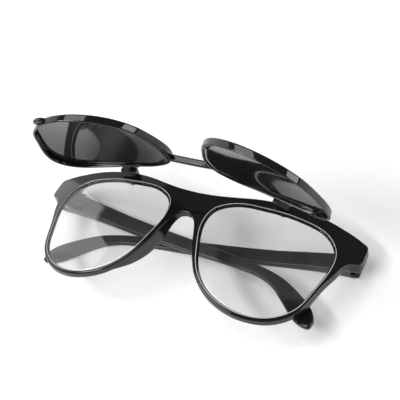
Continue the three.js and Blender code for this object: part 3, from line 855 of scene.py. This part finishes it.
def ground_glass_and_highlight(name):
    """The ground, milky edge of a clear plate, made near white so that it also stands as a painted highlight
    line.
    """
    n = Nodes(name)
    shader = n.node("ShaderNodeBsdfPrincipled")
    # Near white: partly the milky ground edge, partly a painted highlight line round the opening.
    n.link(n.blend(n.noise(900, 3), (0.78, 0.79, 0.79), (0.9, 0.91, 0.91)), shader.inputs["Base Color"])
    n.link(n.spread(n.noise(1400, 3), 0.3, 0.5), shader.inputs["Roughness"])
    n.link(n.bump(n.noise(3000, 2), 0.000005), shader.inputs["Normal"])
    return n.finish(shader.outputs["BSDF"])


def dark_glass(name):
    """A near-black welding filter, polished, with the faintest green body tint."""
    n = Nodes(name)
    shader = n.node("ShaderNodeBsdfPrincipled")
    n.link(n.blend(n.noise(60, 3), (0.010, 0.011, 0.011), (0.016, 0.018, 0.017)), shader.inputs["Base Color"])
    n.link(n.spread(n.noise(85, 4), 0.025, 0.06), shader.inputs["Roughness"])
    n.link(n.bump(n.noise(45, 1), 0.000004), shader.inputs["Normal"])
    shader.inputs["IOR"].default_value = FILTER_IOR
    shader.inputs["Specular IOR Level"].default_value = FILTER_SHINE
    return n.finish(shader.outputs["BSDF"])


def steel(name, dark, light, rough, stretch):
    """Brushed or turned steel: fine lines along one axis, and a little tarnish."""
    n = Nodes(name)
    shader = n.node("ShaderNodeBsdfPrincipled")
    n.link(n.blend(n.noise(300, 4), dark, light), shader.inputs["Base Color"])
    lines = n.noise(900, 4, stretch)
    n.link(n.spread(lines, rough * 0.75, rough * 1.3), shader.inputs["Roughness"])
    n.link(n.bump(lines, 0.000004), shader.inputs["Normal"])
    shader.inputs["Metallic"].default_value = 1.0
    return n.finish(shader.outputs["BSDF"])


def nylon(name):
    """Matt black washers."""
    n = Nodes(name)
    shader = n.node("ShaderNodeBsdfPrincipled")
    n.link(n.blend(n.noise(800, 4), (0.02, 0.02, 0.02), (0.045, 0.045, 0.043)), shader.inputs["Base Color"])
    n.link(n.spread(n.noise(1500, 3), 0.45, 0.62), shader.inputs["Roughness"])
    n.link(n.bump(n.noise(2600, 3), 0.00001), shader.inputs["Normal"])
    return n.finish(shader.outputs["BSDF"])


FRAME_BLACK = gloss_plastic("frame_gloss", (0.006, 0.006, 0.0065), (0.010, 0.010, 0.0105), 0.06)
SHADE_BLACK = gloss_plastic("shade_gloss", (0.006, 0.006, 0.0065), (0.010, 0.010, 0.0105), 0.06)
# The arms: true black at the hooked ends, lifted to grey along the arm as a painted reflection.
TEMPLE_PAINTED_VEIL = temple_plastic_painted_veil("temple_satin_painted_veil", ((0.048, 0.048, 0.0485), (0.062, 0.062, 0.0625)),
                              ((0.007, 0.007, 0.0075), (0.011, 0.011, 0.0115)), 0.34, 0.09)
HINGE_BLACK = gloss_plastic("flip_hinge_satin", (0.008, 0.008, 0.0085), (0.014, 0.014, 0.0145), 0.16)
CLEAR_GLASS = clear_glass("clear_lens_glass")
GROUND_GLASS_AND_HIGHLIGHT = ground_glass_and_highlight("clear_lens_ground_edge_and_highlight")
DARK_GLASS = dark_glass("dark_lens_glass")
LEAF_STEEL = steel("leaf_steel", (0.42, 0.42, 0.41), (0.62, 0.61, 0.59), 0.30, (0.15, 1, 1))
SCREW_STEEL = steel("screw_steel", (0.38, 0.38, 0.37), (0.58, 0.57, 0.56), 0.28, (1, 0.2, 1))
PIN_STEEL = steel("pin_steel_blackened", (0.05, 0.05, 0.05), (0.13, 0.13, 0.13), 0.32, (0.2, 1, 1))
NYLON = nylon("washer_nylon")

# ---------------------------------------------------------------- assembly
finish_piece(front_frame(), "front", "frame_black", FRAME_BLACK, "front_frame")
finish_piece(shade_frame(), "shade", "shade_black", SHADE_BLACK, "shade_frame")
for side, word in SIDES:
    shell = lens_shell(LENS_BITE, PLATE_FRONT - PLATE_THICKNESS, PLATE_FRONT, side)
    lens = new_piece(f"clear_plate_{word}", shell.verts, shell.faces)
    finish_piece(lens, "front", "clear_lens", CLEAR_GLASS, f"clear_lens_{word}")
    shell = lens_bead(side)
    bead = new_piece(f"clear_plate_edge_{word}", shell.verts, shell.faces)
    finish_piece(bead, "front", "clear_lens", GROUND_GLASS_AND_HIGHLIGHT)
    shell = lens_shell(-SHADE_INSET + LENS_BITE, FILTER_BACK, FILTER_BACK + FILTER_THICKNESS, side)
    filter_plate = new_piece(f"filter_plate_{word}", eased_wrap(shell.verts, side), shell.faces, raised)
    finish_piece(filter_plate, "shade", "dark_lens", DARK_GLASS, f"dark_lens_{word}")
    finish_piece(bracket(side, word), "front", "flip_hinge_black", HINGE_BLACK, f"flip_bracket_{word}")
    finish_piece(temple(side, word), f"{word}_temple", "temple_black", TEMPLE_PAINTED_VEIL, f"temple_{word}")


EDGE_EASE = 0.07
WASHER_EASE = 0.05
NODE_SHARP_ANGLE = math.radians(35)
NODE_EASE_ANGLE = math.radians(40)


def dress(node, material, bevel=EDGE_EASE):
    """A CAD node whose shape is right keeps it, with eased edges and a finish of its own."""
    piece = frame["nodes"][node]
    piece.data.materials.clear()
    piece.data.materials.append(material)
    piece.data.shade_smooth()
    piece.data.set_sharp_from_angle(angle=NODE_SHARP_ANGLE)
    ease = piece.modifiers.new("eased_edges", "BEVEL")
    ease.width = bevel * MM
    ease.segments = 2
    ease.limit_method = "ANGLE"
    ease.angle_limit = NODE_EASE_ANGLE
    ease.use_clamp_overlap = True


for _, word in SIDES:
    dress(f"front_leaf_{word}", LEAF_STEEL)
    dress(f"temple_leaf_{word}", LEAF_STEEL)
    dress(f"hinge_screw_{word}", SCREW_STEEL)
    dress(f"flip_bracket_screw_{word}", SCREW_STEEL)
    dress(f"flip_pin_{word}", PIN_STEEL)
    for end in ("outer", "inner"):
        dress(f"friction_washer_{word}_{end}", NYLON, WASHER_EASE)


# ---------------------------------------------------------------- floor, light and camera
AMBIENT = 0.13  # the world's light on the object
BACKDROP = 1.0  # the world as the camera sees it, past the table
TABLE_HALF = 3.0  # metres
TABLE_WHITE = 0.9
TABLE_GLOW = 0.22
TABLE_ROUGHNESS = 0.9


def floor():
    """A plain pale table, lit a little from within like a light table, and the same all over."""
    mesh = bpy.data.meshes.new("table")
    half = TABLE_HALF
    corners = [(-half, -half, 0), (half, -half, 0), (half, half, 0), (-half, half, 0)]
    mesh.from_pydata(corners, [], [(0, 1, 2, 3)])
    table = bpy.data.objects.new("table", mesh)
    bpy.context.scene.collection.objects.link(table)
    n = Nodes("table_white")
    shader = n.node("ShaderNodeBsdfPrincipled")
    shader.inputs["Base Color"].default_value = (TABLE_WHITE, TABLE_WHITE, TABLE_WHITE, 1)
    shader.inputs["Roughness"].default_value = TABLE_ROUGHNESS
    shader.inputs["Specular IOR Level"].default_value = 0.0
    shader.inputs["Emission Color"].default_value = (1, 1, 1, 1)
    shader.inputs["Emission Strength"].default_value = TABLE_GLOW
    mesh.materials.append(n.finish(shader.outputs["BSDF"]))


def softbox(name, azimuth, elevation, distance, width, height, radiance, upright=False):
    """A rectangular light that faces the spectacles, level if it is upright.

    Azimuth 0 is on the -Y side, 90 on the +X side. The distance and the size are in metres.
    """
    a, e = math.radians(azimuth), math.radians(elevation)
    place = Vector((math.sin(a) * math.cos(e), -math.cos(a) * math.cos(e), math.sin(e)))
    light = bpy.data.lights.new(name, "AREA")
    light.shape = "RECTANGLE"
    light.size = width
    light.size_y = height
    light.energy = radiance * width * height * math.pi
    lamp = bpy.data.objects.new(name, light)
    lamp.location = place * distance
    lamp.rotation_mode = "QUATERNION"
    facing = Vector((place.x, place.y, 0)) if upright else place
    lamp.rotation_quaternion = (-facing).to_track_quat("-Z", "Y")
    bpy.context.scene.collection.objects.link(lamp)


CAMERA_TARGET = Vector((3.02, 17.0, 25.4)) * MM
CAMERA_AZIMUTH = 36.17
CAMERA_ELEVATION = 47.83
CAMERA_ROLL = -16.405
CAMERA_DISTANCE = 413.4 * MM
CAMERA_LENS = 90
CAMERA_SENSOR = 36
CAMERA_CLIP = 0.01


def camera():
    """The camera, aimed at its target and rolled about its line of sight."""
    a, e, roll = (math.radians(v) for v in (CAMERA_AZIMUTH, CAMERA_ELEVATION, CAMERA_ROLL))
    back = Vector((math.sin(a) * math.cos(e), -math.cos(a) * math.cos(e), math.sin(e)))
    right = Vector((0, 0, 1)).cross(back).normalized()
    up = back.cross(right)
    turned_right = right * math.cos(roll) + up * math.sin(roll)
    turned_up = up * math.cos(roll) - right * math.sin(roll)
    data = bpy.data.cameras.new("camera")
    data.lens = CAMERA_LENS
    data.sensor_width = CAMERA_SENSOR
    data.clip_start = CAMERA_CLIP
    eye = bpy.data.objects.new("camera", data)
    turn = Matrix((turned_right, turned_up, back)).transposed().to_4x4()
    eye.matrix_world = Matrix.Translation(CAMERA_TARGET + back * CAMERA_DISTANCE) @ turn
    bpy.context.scene.collection.objects.link(eye)
    bpy.context.scene.camera = eye


def world():
    """A dim, even light from all round, which the camera sees as a white backdrop."""
    made = bpy.data.worlds.new("studio")
    made.use_nodes = True
    background = made.node_tree.nodes["Background"]
    background.inputs["Color"].default_value = (1, 1, 1, 1)
    path = made.node_tree.nodes.new("ShaderNodeLightPath")
    strength = made.node_tree.nodes.new("ShaderNodeMapRange")
    strength.inputs["To Min"].default_value = AMBIENT
    strength.inputs["To Max"].default_value = BACKDROP
    made.node_tree.links.new(path.outputs["Is Camera Ray"], strength.inputs["Value"])
    made.node_tree.links.new(strength.outputs["Result"], background.inputs["Strength"])
    bpy.context.scene.world = made


floor()
world()
softbox("wall_left", -98, 24.9, 1.2125, 1.12, 0.98, 1.35, upright=True)
softbox("wall_back", -133, 17, 1.15, 0.32, 0.7, 0.36, upright=True)
softbox("overhead", -81, 70.8, 0.9, 0.45, 0.51, 3.6)
softbox("key_front", -42.5, 50.9, 0.9, 0.75, 0.14, 16)
softbox("side_right", 103, 18, 1.0, 0.42, 0.42, 5)
camera()
bpy.context.scene.view_settings.view_transform = "Standard"
